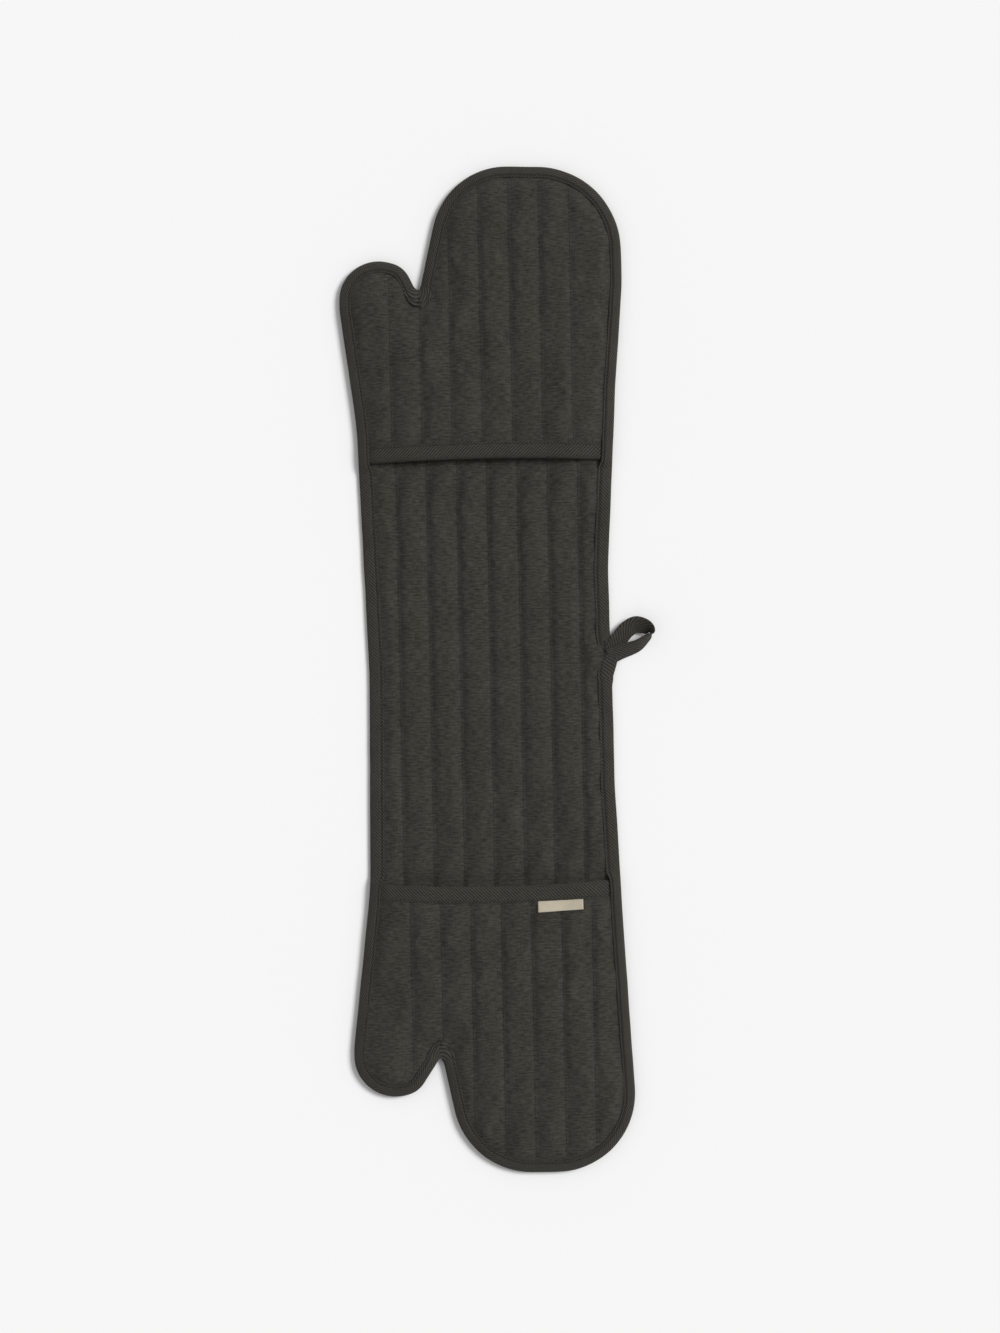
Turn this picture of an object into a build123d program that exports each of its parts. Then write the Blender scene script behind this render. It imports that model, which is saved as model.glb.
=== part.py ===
from build123d import *
import os
from dataclasses import dataclass

# Double oven mitt: one padded strap with a thumbed pocket sewn on at both ends.
# It lies flat, pockets up, with its length along +Y, its thumbs on -X and its underside at z = 0.
# The origin is under the middle of the whole mitt. All sizes are in millimetres.

# Layers
CLOTH = 0.8  # thickness of one cotton ply and of one ply of binding tape
PAD_THICKNESS = 5.8  # strap from lining to face, binding included
THREAD_WIDTH = 0.6
THREAD_DEPTH = 0.3  # a row of stitches sinks this far into the cloth

# Edge binding
BAND = 11.0  # width of tape that shows inside the outline
EDGE_STITCH_INSET = 9.2

# Middle fold
FOLD_Y = -9.0
FOLD_GAP = 0.4  # gap between the two halves where the strap bends

# Quilting
ROW_COUNT = 7
ROW_PITCH = 23.4
STRAP_ROW_CENTRE = -4.8
ROW_END_CLEARANCE = 1.2  # each row stops this far inside the band

# Pockets
POCKET_GAP = 0.4  # between the strap's face and the pocket's seam
POCKET_INSET = BAND + 0.5
SEAM_WIDTH = 3.0  # flat seam between the pocket's edge and its loft
POCKET_LOFT = 6.4  # how far the crown stands above the seam
POCKET_WADDING = 2.8
POCKET_PLY = 2 * CLOTH + POCKET_WADDING
SLOPE_SHIFT = 0.414  # inward shift per millimetre of depth that keeps the 45 degree sides equally thick
SEAM_BOTTOM = PAD_THICKNESS + POCKET_GAP
SEAM_TOP = SEAM_BOTTOM + POCKET_PLY
CROWN_TOP = SEAM_TOP + POCKET_LOFT

# Mouth binding
MOUTH_BAND = 12.0
MOUTH_STITCH_INSET = 10.8

# Label
LABEL_LEFT = 28.0
LABEL_RIGHT = 63.0
LABEL_DROP_LEFT = 9.4  # its lower edge is cut slightly askew
LABEL_DROP_RIGHT = 7.2
LABEL_THICKNESS = 0.4
LABEL_GAP = 0.6  # from the mouth binding to the label's folded top edge

# Hanging loop of folded tape
LOOP_CORNERS = [
    (89.6, 5.5, 0),
    (89.6, 21.0, 0),
    (102.5, 35.5, 9),
    (112.0, 39.0, 5),
    (124.2, 30.0, 5),
    (123.0, 22.5, 4),
    (99.0, 4.5, 3),
]
LOOP_EYE_CENTRE = (108.0, 23.0)
LOOP_EYE_LENGTH = 16.0
LOOP_EYE_WIDTH = 7.0
LOOP_EYE_TURN = 36.0  # degrees from +X
LOOP_BOTTOM = 1.5
LOOP_THICKNESS = 3.0

# Tacks: short bars of dense stitches lying on the binding
TACK_HEIGHT = 0.3
TACK_WIDTH = 1.2
LOOP_TACK_CENTRE = (84.0, 13.0)
LOOP_TACK_LENGTH = 14.0
CROTCH_TACK_LENGTH = 5.0

REACH = 500.0  # longer than half the mitt, for cutting planes


@dataclass
class End:
    """One half of the mitt, from the middle fold to its fingertips."""

    name: str
    toward_tip: int  # +1 where the fingertips point along +Y, -1 along -Y
    mouth_y: float
    pocket_row_centre: float
    crotch_tack: tuple
    corners: list  # (x, y, radius) round the outline, running past the fold


UPPER = End(
    name="upper",
    toward_tip=1,
    mouth_y=162.0,
    pocket_row_centre=-7.5,
    crotch_tack=(-54.0, 286.5),
    corners=[
        (89.0, -60.0, 0),
        (87.6, 75.0, 300),
        (96.0, 215.0, 400),
        (103.0, 299.5, 220),
        (101.0, 386.0, 65),
        (-31.5, 390.5, 58),
        (-55.0, 290.0, 3),
        (-66.0, 313.0, 20),
        (-116.0, 326.0, 30),
        (-116.5, 279.0, 53),
        (-105.0, 190.0, 246),
        (-99.0, 0.0, 300),
        (-99.0, -60.0, 0),
    ],
)
LOWER = End(
    name="lower",
    toward_tip=-1,
    mouth_y=-167.5,
    pocket_row_centre=-0.3,
    crotch_tack=(-48.8, -289.0),
    corners=[
        (89.0, 50.0, 0),
        (89.5, -90.0, 290),
        (94.0, -199.5, 400),
        (99.0, -299.5, 275),
        (104.0, -391.5, 61),
        (-29.5, -390.5, 61),
        (-48.5, -298.5, 3),
        (-67.0, -326.5, 20),
        (-116.5, -341.0, 32),
        (-116.5, -292.0, 37),
        (-101.5, -169.0, 290),
        (-99.0, -10.0, 300),
        (-99.0, 50.0, 0),
    ],
)


def rounded_face(corners):
    """Flat face with the given corners, each rounded by its own radius."""
    points = [(x, y) for x, y, radius in corners]
    radii = [radius for x, y, radius in corners]
    return make_face(FilletPolyline(*points, radius=radii, close=True))


def outline(end, inset):
    """Mitt outline of one end, moved in by inset and running past the fold."""
    face = rounded_face(end.corners)
    return offset(face, amount=-inset).face() if inset > 0 else face.face()


def strip_between(y_from, y_to):
    """Wide flat strip between two heights along the mitt."""
    return Pos(0, (y_from + y_to) / 2) * Rectangle(REACH, abs(y_to - y_from))


def beyond(end, y_from):
    """Everything on the fingertip side of a line across the mitt, as a flat face."""
    return strip_between(y_from, end.toward_tip * REACH)


def fold_edge(end):
    """Where this half stops at the middle fold."""
    return FOLD_Y + end.toward_tip * FOLD_GAP / 2


def layer(face, bottom, top):
    """Flat face thickened between two heights."""
    return extrude(Pos(0, 0, bottom) * face, amount=top - bottom)


def pad_sheet(end, inset, bottom, top):
    """One flat layer of the strap, from the fold to the fingertips."""
    return layer(outline(end, inset) & beyond(end, fold_edge(end)), bottom, top)


def pad_ring(end, outer_inset, inner_inset, bottom, top):
    """Band that follows the outline between two insets, open at the fold."""
    ring = outline(end, outer_inset) - outline(end, inner_inset)
    return layer(ring & beyond(end, fold_edge(end)), bottom, top)


def stitch_rows(centre):
    """Parallel rows of quilting stitches along the mitt, as one flat pattern."""
    first = centre - ROW_PITCH * (ROW_COUNT - 1) / 2
    row = Rectangle(THREAD_WIDTH, 2 * REACH)
    return Sketch() + [Pos(first + ROW_PITCH * index, 0) * row for index in range(ROW_COUNT)]


def strap_rows(end, bottom, top):
    """Quilting thread on one side of the strap."""
    field = outline(end, BAND + ROW_END_CLEARANCE) & beyond(end, fold_edge(end))
    return layer(stitch_rows(STRAP_ROW_CENTRE) & field, bottom, top)


def strap_quilting(end):
    """Needle thread sunk in the face and bobbin thread sunk in the lining."""
    needle = strap_rows(end, PAD_THICKNESS - THREAD_DEPTH, PAD_THICKNESS)
    bobbin = strap_rows(end, 0, THREAD_DEPTH)
    return needle + bobbin


def edge_stitching(end):
    """Needle and bobbin thread of the binding's topstitch."""
    inner_inset = EDGE_STITCH_INSET + THREAD_WIDTH
    needle = pad_ring(end, EDGE_STITCH_INSET, inner_inset, PAD_THICKNESS - THREAD_DEPTH, PAD_THICKNESS)
    bobbin = pad_ring(end, EDGE_STITCH_INSET, inner_inset, 0, THREAD_DEPTH)
    return needle + bobbin


def body_lining(end):
    """Underside panel. Its margin steps up to lie inside the binding."""
    panel = pad_sheet(end, BAND, 0, CLOTH)
    margin = pad_ring(end, CLOTH, BAND + CLOTH, CLOTH, 2 * CLOTH)
    return panel + margin - strap_quilting(end)


def body_wadding(end):
    """Heat-proof padding, thinner where the binding squeezes it."""
    squeezed = pad_sheet(end, CLOTH, 2 * CLOTH, PAD_THICKNESS - 2 * CLOTH)
    swell_below = pad_sheet(end, BAND + CLOTH, CLOTH, 2 * CLOTH)
    swell_above = pad_sheet(end, BAND + CLOTH, PAD_THICKNESS - 2 * CLOTH, PAD_THICKNESS - CLOTH)
    return squeezed + swell_below + swell_above


def body_face(end):
    """Quilted upper panel. Its margin steps down to lie inside the binding."""
    panel = pad_sheet(end, BAND, PAD_THICKNESS - CLOTH, PAD_THICKNESS)
    margin = pad_ring(end, CLOTH, BAND + CLOTH, PAD_THICKNESS - 2 * CLOTH, PAD_THICKNESS - CLOTH)
    return panel + margin - strap_quilting(end)


def edge_binding(end):
    """Tape folded round the strap's edge: a flange below, a web outside and a flange above."""
    lower_flange = pad_ring(end, 0, BAND, 0, CLOTH)
    web = pad_ring(end, 0, CLOTH, 0, PAD_THICKNESS)
    upper_flange = pad_ring(end, 0, BAND, PAD_THICKNESS - CLOTH, PAD_THICKNESS)
    return lower_flange + web + upper_flange - edge_stitching(end)


def crotch_tack(end):
    """Bar of stitches that holds the binding's pleat between thumb and hand."""
    bar = Pos(*end.crotch_tack) * Rectangle(TACK_WIDTH, CROTCH_TACK_LENGTH)
    return layer(bar, PAD_THICKNESS, PAD_THICKNESS + TACK_HEIGHT)


def pocket_bulk(end, depth):
    """Solid below the pocket's surface, lowered by depth: a flat seam and a crown with sloping sides."""
    base_inset = POCKET_INSET + SEAM_WIDTH + SLOPE_SHIFT * depth
    base = outline(end, base_inset)
    crown = outline(end, base_inset + POCKET_LOFT)
    foot_z = SEAM_BOTTOM - POCKET_PLY
    shoulder_z = SEAM_TOP - depth
    crown_z = CROWN_TOP - depth
    sections = [Pos(0, 0, foot_z) * base, Pos(0, 0, shoulder_z) * base, Pos(0, 0, crown_z) * crown]
    bulk = loft(sections, ruled=True)
    if depth < POCKET_PLY:
        bulk = bulk + layer(outline(end, POCKET_INSET), SEAM_BOTTOM, shoulder_z)
    return bulk


def pocket_slab(end, y_from, y_to):
    """Cutting block between two lines across the mitt, standing on the seam's underside."""
    return layer(strip_between(y_from, y_to), SEAM_BOTTOM, CROWN_TOP + POCKET_PLY)


def past_mouth(end, distance):
    """Line across the mitt at a distance from the mouth towards the fingertips."""
    return end.mouth_y + end.toward_tip * distance


def pocket_shell(end, outer_depth, inner_depth, bare):
    """One ply of the pocket between two depths, open at the mouth and starting bare of its edge."""
    ply = pocket_bulk(end, outer_depth) - pocket_bulk(end, inner_depth)
    return ply & pocket_slab(end, past_mouth(end, bare), end.toward_tip * REACH)


def pocket_rows(end):
    """Quilting thread sunk in the pocket's crown."""
    crown_inset = POCKET_INSET + SEAM_WIDTH + POCKET_LOFT + ROW_END_CLEARANCE
    start = past_mouth(end, MOUTH_BAND + ROW_END_CLEARANCE)
    field = outline(end, crown_inset) & beyond(end, start)
    return layer(stitch_rows(end.pocket_row_centre) & field, CROWN_TOP - THREAD_DEPTH, CROWN_TOP)


def pocket_face(end):
    """Quilted outer ply of the pocket."""
    return pocket_shell(end, 0, CLOTH, CLOTH) - pocket_rows(end)


def pocket_wadding(end):
    """Padding of the pocket."""
    return pocket_shell(end, CLOTH, CLOTH + POCKET_WADDING, CLOTH)


def pocket_lining(end):
    """Inner ply of the pocket, which faces the hand."""
    return pocket_shell(end, CLOTH + POCKET_WADDING, POCKET_PLY, CLOTH)


def mouth_stitching(end):
    """Topstitch across the mouth binding."""
    crown_inset = POCKET_INSET + SEAM_WIDTH + POCKET_LOFT + ROW_END_CLEARANCE
    line_from = past_mouth(end, MOUTH_STITCH_INSET)
    line_to = past_mouth(end, MOUTH_STITCH_INSET + THREAD_WIDTH)
    line = outline(end, crown_inset) & strip_between(line_from, line_to)
    return layer(line, CROWN_TOP + CLOTH - THREAD_DEPTH, CROWN_TOP + CLOTH)


def mouth_binding(end):
    """Tape folded round the pocket's open edge."""
    wrapped = pocket_bulk(end, -CLOTH) - pocket_bulk(end, POCKET_PLY + CLOTH)
    tape = wrapped & pocket_slab(end, end.mouth_y, past_mouth(end, MOUTH_BAND))
    plies = pocket_bulk(end, 0) - pocket_bulk(end, POCKET_PLY)
    plies = plies & pocket_slab(end, past_mouth(end, CLOTH), end.toward_tip * REACH)
    return tape - plies - mouth_stitching(end)


def label(end):
    """Blank sewn-in label: the flap that shows below the mouth binding."""
    top_y = past_mouth(end, MOUTH_BAND + LABEL_GAP)
    low_left = top_y + end.toward_tip * LABEL_DROP_LEFT
    low_right = top_y + end.toward_tip * LABEL_DROP_RIGHT
    corners = [(LABEL_LEFT, top_y), (LABEL_RIGHT, top_y), (LABEL_RIGHT, low_right), (LABEL_LEFT, low_left)]
    flap = make_face(Polyline(*corners, close=True))
    bottom = CROWN_TOP + THREAD_DEPTH
    return layer(flap, bottom, bottom + LABEL_THICKNESS)


def hanging_loop():
    """Loop of folded binding tape that stands out from the edge, with the eye a hook goes through."""
    tape = rounded_face(LOOP_CORNERS)
    eye = Pos(*LOOP_EYE_CENTRE) * SlotOverall(LOOP_EYE_LENGTH, LOOP_EYE_WIDTH, rotation=LOOP_EYE_TURN)
    return layer(tape - eye, LOOP_BOTTOM, LOOP_BOTTOM + LOOP_THICKNESS)


def loop_tack():
    """Bar of stitches that holds the loop's ends inside the edge."""
    bar = Pos(*LOOP_TACK_CENTRE) * Rectangle(TACK_WIDTH, LOOP_TACK_LENGTH)
    return layer(bar, PAD_THICKNESS, PAD_THICKNESS + TACK_HEIGHT)


def save(name, solid):
    """Writes one node."""
    export_step(solid, f"parts/{name}.step")


def main():
    """Builds and writes every node of the mitt."""
    os.makedirs("parts", exist_ok=True)
    for end in (UPPER, LOWER):
        save(f"body_lining_{end.name}", body_lining(end))
        save(f"body_wadding_{end.name}", body_wadding(end))
        save(f"body_face_{end.name}", body_face(end))
        save(f"body_quilting_{end.name}", strap_quilting(end))
        save(f"edge_binding_{end.name}", edge_binding(end))
        save(f"edge_topstitch_{end.name}", edge_stitching(end))
        save(f"{end.name}_crotch_tack", crotch_tack(end))
        save(f"{end.name}_pocket_lining", pocket_lining(end))
        save(f"{end.name}_pocket_wadding", pocket_wadding(end))
        save(f"{end.name}_pocket_face", pocket_face(end))
        save(f"{end.name}_pocket_quilting", pocket_rows(end))
        save(f"{end.name}_mouth_binding", mouth_binding(end))
        save(f"{end.name}_mouth_topstitch", mouth_stitching(end))
    save("label", label(LOWER))
    save("hanging_loop", hanging_loop())
    save("loop_tack", loop_tack())


main()
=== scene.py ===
"""Double oven mitt in dark charcoal cotton: quilted strap, two thumbed pockets, bound edges, loop and label."""

import logging
import math
from dataclasses import dataclass, field
from enum import Enum

import bmesh
import bpy
import numpy as np
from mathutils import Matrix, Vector, noise
from mathutils.bvhtree import BVHTree
from mathutils.geometry import delaunay_2d_cdt
from mathutils.kdtree import KDTree


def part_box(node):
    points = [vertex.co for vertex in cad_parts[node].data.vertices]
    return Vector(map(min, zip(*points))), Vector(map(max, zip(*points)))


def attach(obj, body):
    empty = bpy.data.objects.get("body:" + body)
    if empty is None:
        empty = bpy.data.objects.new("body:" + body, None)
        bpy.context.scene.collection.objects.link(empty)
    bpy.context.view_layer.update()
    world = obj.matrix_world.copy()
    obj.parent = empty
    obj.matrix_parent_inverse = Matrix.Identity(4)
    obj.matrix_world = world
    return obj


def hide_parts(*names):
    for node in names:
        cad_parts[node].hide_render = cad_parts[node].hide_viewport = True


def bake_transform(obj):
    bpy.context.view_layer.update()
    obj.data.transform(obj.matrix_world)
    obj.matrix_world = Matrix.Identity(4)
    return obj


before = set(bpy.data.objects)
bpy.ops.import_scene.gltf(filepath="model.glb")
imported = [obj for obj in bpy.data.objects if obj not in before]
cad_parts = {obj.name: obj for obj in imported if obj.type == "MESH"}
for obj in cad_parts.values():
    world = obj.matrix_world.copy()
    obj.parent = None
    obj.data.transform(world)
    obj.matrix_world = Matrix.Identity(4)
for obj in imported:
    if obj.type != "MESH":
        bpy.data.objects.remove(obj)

MM = 0.001
log = logging.getLogger("oven_mitt")


# ---------------------------------------------------------------- finishes


class NodeDesk:
    """Lays out shader nodes for one material."""

    def __init__(self, name: str) -> None:
        """Start an empty material with its shader.

        Args:
            name: Name of the material.
        """
        self.material = bpy.data.materials.new(name)
        self.material.use_nodes = True
        self.tree = self.material.node_tree
        self.shader = self.tree.nodes["Principled BSDF"]

    def add(self, kind: str, **settings: object) -> bpy.types.Node:
        """Add a node.

        Args:
            kind: Blender's node type.
            settings: Properties of the node; names of inputs go to those sockets.

        Returns:
            The new node.
        """
        node = self.tree.nodes.new(kind)
        for key, value in settings.items():
            if hasattr(node, key):
                setattr(node, key, value)
            else:
                node.inputs[key.replace("_", " ")].default_value = value
        return node

    def join(self, source: bpy.types.NodeSocket, target: bpy.types.NodeSocket) -> None:
        """Link two sockets."""
        self.tree.links.new(source, target)

    def math(self, operation: str, first: object, second: object = 0.5) -> bpy.types.NodeSocket:
        """Add a math node.

        Args:
            operation: Name of the operation.
            first: Socket or number for the first input.
            second: Socket or number for the second input.

        Returns:
            The node's output.
        """
        node = self.add("ShaderNodeMath", operation=operation)
        for value, slot in ((first, node.inputs[0]), (second, node.inputs[1])):
            if isinstance(value, bpy.types.NodeSocket):
                self.join(value, slot)
            else:
                slot.default_value = value
        return node.outputs[0]

    def cloth_place(self, scale: tuple[float, float, float], turn: float = 0.0) -> bpy.types.NodeSocket:
        """Coordinates on the cut cloth, which stay with the threads when the cloth bends.

        Args:
            scale: Factor on each of the three directions.
            turn: Turn of the weave about the cloth's normal, in radians.

        Returns:
            The mapped coordinates.
        """
        attribute = self.add("ShaderNodeAttribute", attribute_name="cloth")
        mapping = self.add("ShaderNodeMapping", vector_type="POINT")
        mapping.inputs["Rotation"].default_value = (0, 0, turn)
        mapping.inputs["Scale"].default_value = scale
        self.join(attribute.outputs["Vector"], mapping.inputs["Vector"])
        return mapping.outputs["Vector"]

    def noise(self, place: bpy.types.NodeSocket, scale: float, detail: float = 3.0) -> bpy.types.NodeSocket:
        """Add cloud noise.

        Args:
            place: Coordinates to read it at.
            scale: Its scale.
            detail: Number of finer layers.

        Returns:
            The noise's factor.
        """
        node = self.add("ShaderNodeTexNoise", Scale=scale, Detail=detail)
        self.join(place, node.inputs["Vector"])
        return node.outputs[0]

    def thread_lines(self, place: bpy.types.NodeSocket, direction: str, pitch: float) -> bpy.types.NodeSocket:
        """Add parallel threads.

        Args:
            place: Coordinates in metres.
            direction: Axis that the threads are counted along, "X" or "Y".
            pitch: Distance from thread to thread, in metres.

        Returns:
            Height of the threads, from 0 to 1.
        """
        lines = self.add("ShaderNodeTexWave", wave_type="BANDS", bands_direction=direction)
        lines.inputs["Scale"].default_value = math.pi / 10 / pitch
        lines.inputs["Distortion"].default_value = 0.6
        lines.inputs["Detail Scale"].default_value = 2.0
        self.join(place, lines.inputs["Vector"])
        return lines.outputs[1]

    def blend_colours(
        self,
        factor: bpy.types.NodeSocket,
        low: tuple[float, ...],
        high: tuple[float, ...],
        span: tuple[float, float] = (0.25, 0.78),
    ) -> bpy.types.NodeSocket:
        """Mix two colours.

        Args:
            factor: Socket that chooses between them.
            low: Colour at the span's start.
            high: Colour at the span's end.
            span: Values between which the colour changes.

        Returns:
            The mixed colour.
        """
        ramp = self.add("ShaderNodeValToRGB")
        ramp.color_ramp.elements[0].color = (*low, 1)
        ramp.color_ramp.elements[1].color = (*high, 1)
        ramp.color_ramp.elements[0].position = span[0]
        ramp.color_ramp.elements[1].position = span[1]
        self.join(factor, ramp.inputs[0])
        return ramp.outputs[0]

    def bump(self, height: bpy.types.NodeSocket, strength: float, distance: float) -> None:
        """Raise the surface by a height pattern.

        Args:
            height: Pattern from 0 to 1.
            strength: Share of the pattern that shows.
            distance: Height of the pattern in metres.
        """
        node = self.add("ShaderNodeBump", Strength=strength, Distance=distance)
        self.join(height, node.inputs["Height"])
        self.join(node.outputs[0], self.shader.inputs["Normal"])

    def surface(self, roughness: float, sheen: float) -> None:
        """Set the plain values of cloth.

        Args:
            roughness: Roughness of the surface.
            sheen: Strength of the fuzz that catches light at a low angle.
        """
        self.shader.inputs["Roughness"].default_value = roughness
        self.shader.inputs["Sheen Weight"].default_value = sheen
        self.shader.inputs["Sheen Roughness"].default_value = 0.6
        self.shader.inputs["Specular IOR Level"].default_value = 0.2


@dataclass(frozen=True)
class ClothFinish:
    """Plain-woven cotton with slubs, or a tape cut from it on the bias."""

    name: str
    dark: tuple[float, float, float]
    light: tuple[float, float, float]
    thread_pitch: float = 0.55 * MM
    turn: float = 0.0
    slub: float = 1.0
    twill: float = 0.0
    spread: float = 0.14
    sheen: float = 0.05

    def material(self) -> bpy.types.Material:
        """Build the material: weave, slubs, faded patches and fuzz."""
        desk = NodeDesk(self.name)
        place = desk.cloth_place((1, 1, 1), self.turn)
        warp = desk.thread_lines(place, "X", self.thread_pitch)
        weft = desk.thread_lines(place, "Y", self.thread_pitch * 1.15)
        weave = desk.math("MULTIPLY", desk.math("ADD", warp, weft), 0.5)
        slubs = desk.noise(desk.cloth_place((190, 820, 1), self.turn), 1.0, 2.0)
        warp_slubs = desk.noise(desk.cloth_place((820, 240, 1), self.turn), 1.0, 2.0)
        patches = desk.noise(place, 34.0, 5.0)
        threads = desk.math("ADD", desk.math("MULTIPLY", slubs, 0.75 * self.slub), desk.math("MULTIPLY", weave, 0.16))
        threads = desk.math("ADD", threads, desk.math("MULTIPLY", warp_slubs, 0.25 * self.slub))
        if self.twill > 0:
            ribs = desk.thread_lines(place, "X", 1.9 * MM)
            threads = desk.math("ADD", threads, desk.math("MULTIPLY", ribs, self.twill))
        tone = desk.math("ADD", desk.math("MULTIPLY", threads, 0.8), desk.math("MULTIPLY", patches, 0.2))
        middle = 0.1 + 0.8 * (0.08 + 0.5 * self.slub + 0.5 * self.twill)
        span = (middle - self.spread, middle + self.spread)
        desk.join(desk.blend_colours(tone, self.dark, self.light, span), desk.shader.inputs["Base Color"])
        desk.bump(desk.math("ADD", weave, threads), 0.6, 0.3 * MM)
        desk.surface(0.9, self.sheen)
        return desk.material


@dataclass(frozen=True)
class ThreadFinish:
    """Twisted sewing thread."""

    name: str
    dark: tuple[float, float, float]
    light: tuple[float, float, float]

    def material(self) -> bpy.types.Material:
        """Build the material: fine plies and a soft shine."""
        desk = NodeDesk(self.name)
        place = desk.cloth_place((1, 1, 1), 0.6)
        plies = desk.thread_lines(place, "X", 0.3 * MM)
        uneven = desk.noise(place, 260.0)
        tone = desk.math("ADD", desk.math("MULTIPLY", plies, 0.5), desk.math("MULTIPLY", uneven, 0.5))
        desk.join(desk.blend_colours(tone, self.dark, self.light), desk.shader.inputs["Base Color"])
        desk.bump(plies, 0.4, 0.08 * MM)
        desk.surface(0.65, 0.1)
        return desk.material


@dataclass(frozen=True)
class WaddingFinish:
    """Needled cotton wadding: pale, matted fibres."""

    name: str = "cotton_wadding"

    def material(self) -> bpy.types.Material:
        """Build the material: flecked, fuzzy and dull."""
        desk = NodeDesk(self.name)
        place = desk.cloth_place((1, 1, 1))
        fibres = desk.noise(desk.cloth_place((900, 300, 600), 0.5), 1.0, 5.0)
        clumps = desk.noise(place, 120.0, 4.0)
        tone = desk.math("MULTIPLY", desk.math("ADD", fibres, clumps), 0.5)
        desk.join(desk.blend_colours(tone, (0.42, 0.40, 0.34), (0.74, 0.72, 0.65)), desk.shader.inputs["Base Color"])
        desk.bump(tone, 0.8, 0.8 * MM)
        desk.surface(1.0, 0.2)
        return desk.material


@dataclass(frozen=True)
class LabelFinish:
    """Cream ribbon with a fine rib and no print."""

    name: str = "cream_label_ribbon"

    def material(self) -> bpy.types.Material:
        """Build the material: fine ribs across the ribbon and slight yellowing."""
        desk = NodeDesk(self.name)
        place = desk.cloth_place((1, 1, 1))
        ribs = desk.thread_lines(place, "Y", 0.42 * MM)
        ends = desk.thread_lines(place, "X", 0.3 * MM)
        weave = desk.math("MULTIPLY", desk.math("ADD", ribs, ends), 0.5)
        stain = desk.noise(place, 90.0, 4.0)
        tone = desk.math("ADD", desk.math("MULTIPLY", weave, 0.35), desk.math("MULTIPLY", stain, 0.65))
        desk.join(desk.blend_colours(tone, (0.36, 0.32, 0.235), (0.56, 0.51, 0.40)), desk.shader.inputs["Base Color"])
        desk.bump(weave, 0.5, 0.12 * MM)
        desk.surface(0.8, 0.1)
        return desk.material


class Finish(Enum):
    """The cloths and threads that the mitt is sewn from."""

    FACE = ClothFinish("charcoal_face_cotton", (0.019, 0.0172, 0.0130), (0.056, 0.0535, 0.0440))
    LINING = ClothFinish("charcoal_lining_cotton", (0.020, 0.0185, 0.0145), (0.050, 0.048, 0.040), slub=0.8)
    TAPE = ClothFinish(
        "charcoal_bias_tape",
        (0.017, 0.0158, 0.0120),
        (0.055, 0.0525, 0.0430),
        turn=math.radians(45),
        slub=0.5,
        twill=0.4,
    )
    THREAD = ThreadFinish("charcoal_sewing_thread", (0.004, 0.0038, 0.003), (0.016, 0.015, 0.0125))
    WADDING = WaddingFinish()
    LABEL = LabelFinish()

    def cloth(self) -> bpy.types.Material:
        """The finish's material, made once."""
        return bpy.data.materials.get(self.value.name) or self.value.material()


# ---------------------------------------------------------------- mesh helpers


def smooth_step(value: np.ndarray | float) -> np.ndarray:
    """Ease from 0 to 1 as value goes from 0 to 1."""
    clipped = np.clip(value, 0.0, 1.0)
    return clipped * clipped * (3 - 2 * clipped)


def clouds(places: np.ndarray, wave: tuple[float, float, float], seed: float) -> np.ndarray:
    """Smooth noise between -1 and 1.

    Args:
        places: Points, in metres.
        wave: Size of its lumps along each axis, in metres.
        seed: Offset that picks another pattern.

    Returns:
        One value for each point.
    """
    scaled = places / np.array(wave) + seed
    return np.array([noise.noise(Vector(point)) for point in scaled])


def make_piece(
    name: str, points: np.ndarray, faces: list, finish: Finish, cloth: np.ndarray | None = None
) -> bpy.types.Object:
    """Make a smooth-shaded piece.

    Args:
        name: Name of the piece.
        points: Its vertices, in metres.
        faces: Its faces, as lists of vertex numbers.
        finish: What it is made of.
        cloth: Place of each vertex on the cut cloth; its own place if not given.

    Returns:
        The new object.
    """
    mesh = bpy.data.meshes.new(name)
    mesh.from_pydata(np.asarray(points, float).tolist(), [], [list(map(int, face)) for face in faces])
    mesh.polygons.foreach_set("use_smooth", [True] * len(mesh.polygons))
    mesh.materials.append(finish.cloth())
    piece = bpy.data.objects.new(name, mesh)
    bpy.context.scene.collection.objects.link(piece)
    set_cloth(piece, np.asarray(points if cloth is None else cloth, float))
    mesh.update()
    return piece


def set_cloth(piece: bpy.types.Object, places: np.ndarray) -> None:
    """Store where each vertex lies on the cut cloth."""
    attribute = piece.data.attributes.get("cloth") or piece.data.attributes.new("cloth", "FLOAT_VECTOR", "POINT")
    attribute.data.foreach_set("vector", np.asarray(places, np.float32).ravel())


def vertices_of(piece: bpy.types.Object) -> np.ndarray:
    """Vertices of a piece as rows of numbers."""
    places = np.empty(len(piece.data.vertices) * 3)
    piece.data.vertices.foreach_get("co", places)
    return places.reshape(-1, 3)


def move_vertices(piece: bpy.types.Object, places: np.ndarray) -> None:
    """Put a piece's vertices in new places."""
    piece.data.vertices.foreach_set("co", np.asarray(places, float).ravel())
    piece.data.update()


def apply_modifiers(piece: bpy.types.Object) -> None:
    """Turn a piece into the mesh that its modifiers make."""
    graph = bpy.context.evaluated_depsgraph_get()
    mesh = bpy.data.meshes.new_from_object(piece.evaluated_get(graph), depsgraph=graph)
    piece.modifiers.clear()
    piece.data = mesh


def refine(piece: bpy.types.Object, levels: int) -> None:
    """Subdivide a piece smoothly.

    Args:
        piece: The piece.
        levels: How many times each face is divided.
    """
    subdivision = piece.modifiers.new("smooth", "SUBSURF")
    subdivision.levels = levels
    subdivision.render_levels = levels
    apply_modifiers(piece)


def thicken(piece: bpy.types.Object, thickness: float) -> None:
    """Give a sheet its cloth's thickness, below its surface.

    Args:
        piece: The sheet.
        thickness: Thickness in metres.
    """
    ply = piece.modifiers.new("ply", "SOLIDIFY")
    ply.thickness = thickness
    ply.offset = -1
    apply_modifiers(piece)


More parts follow.
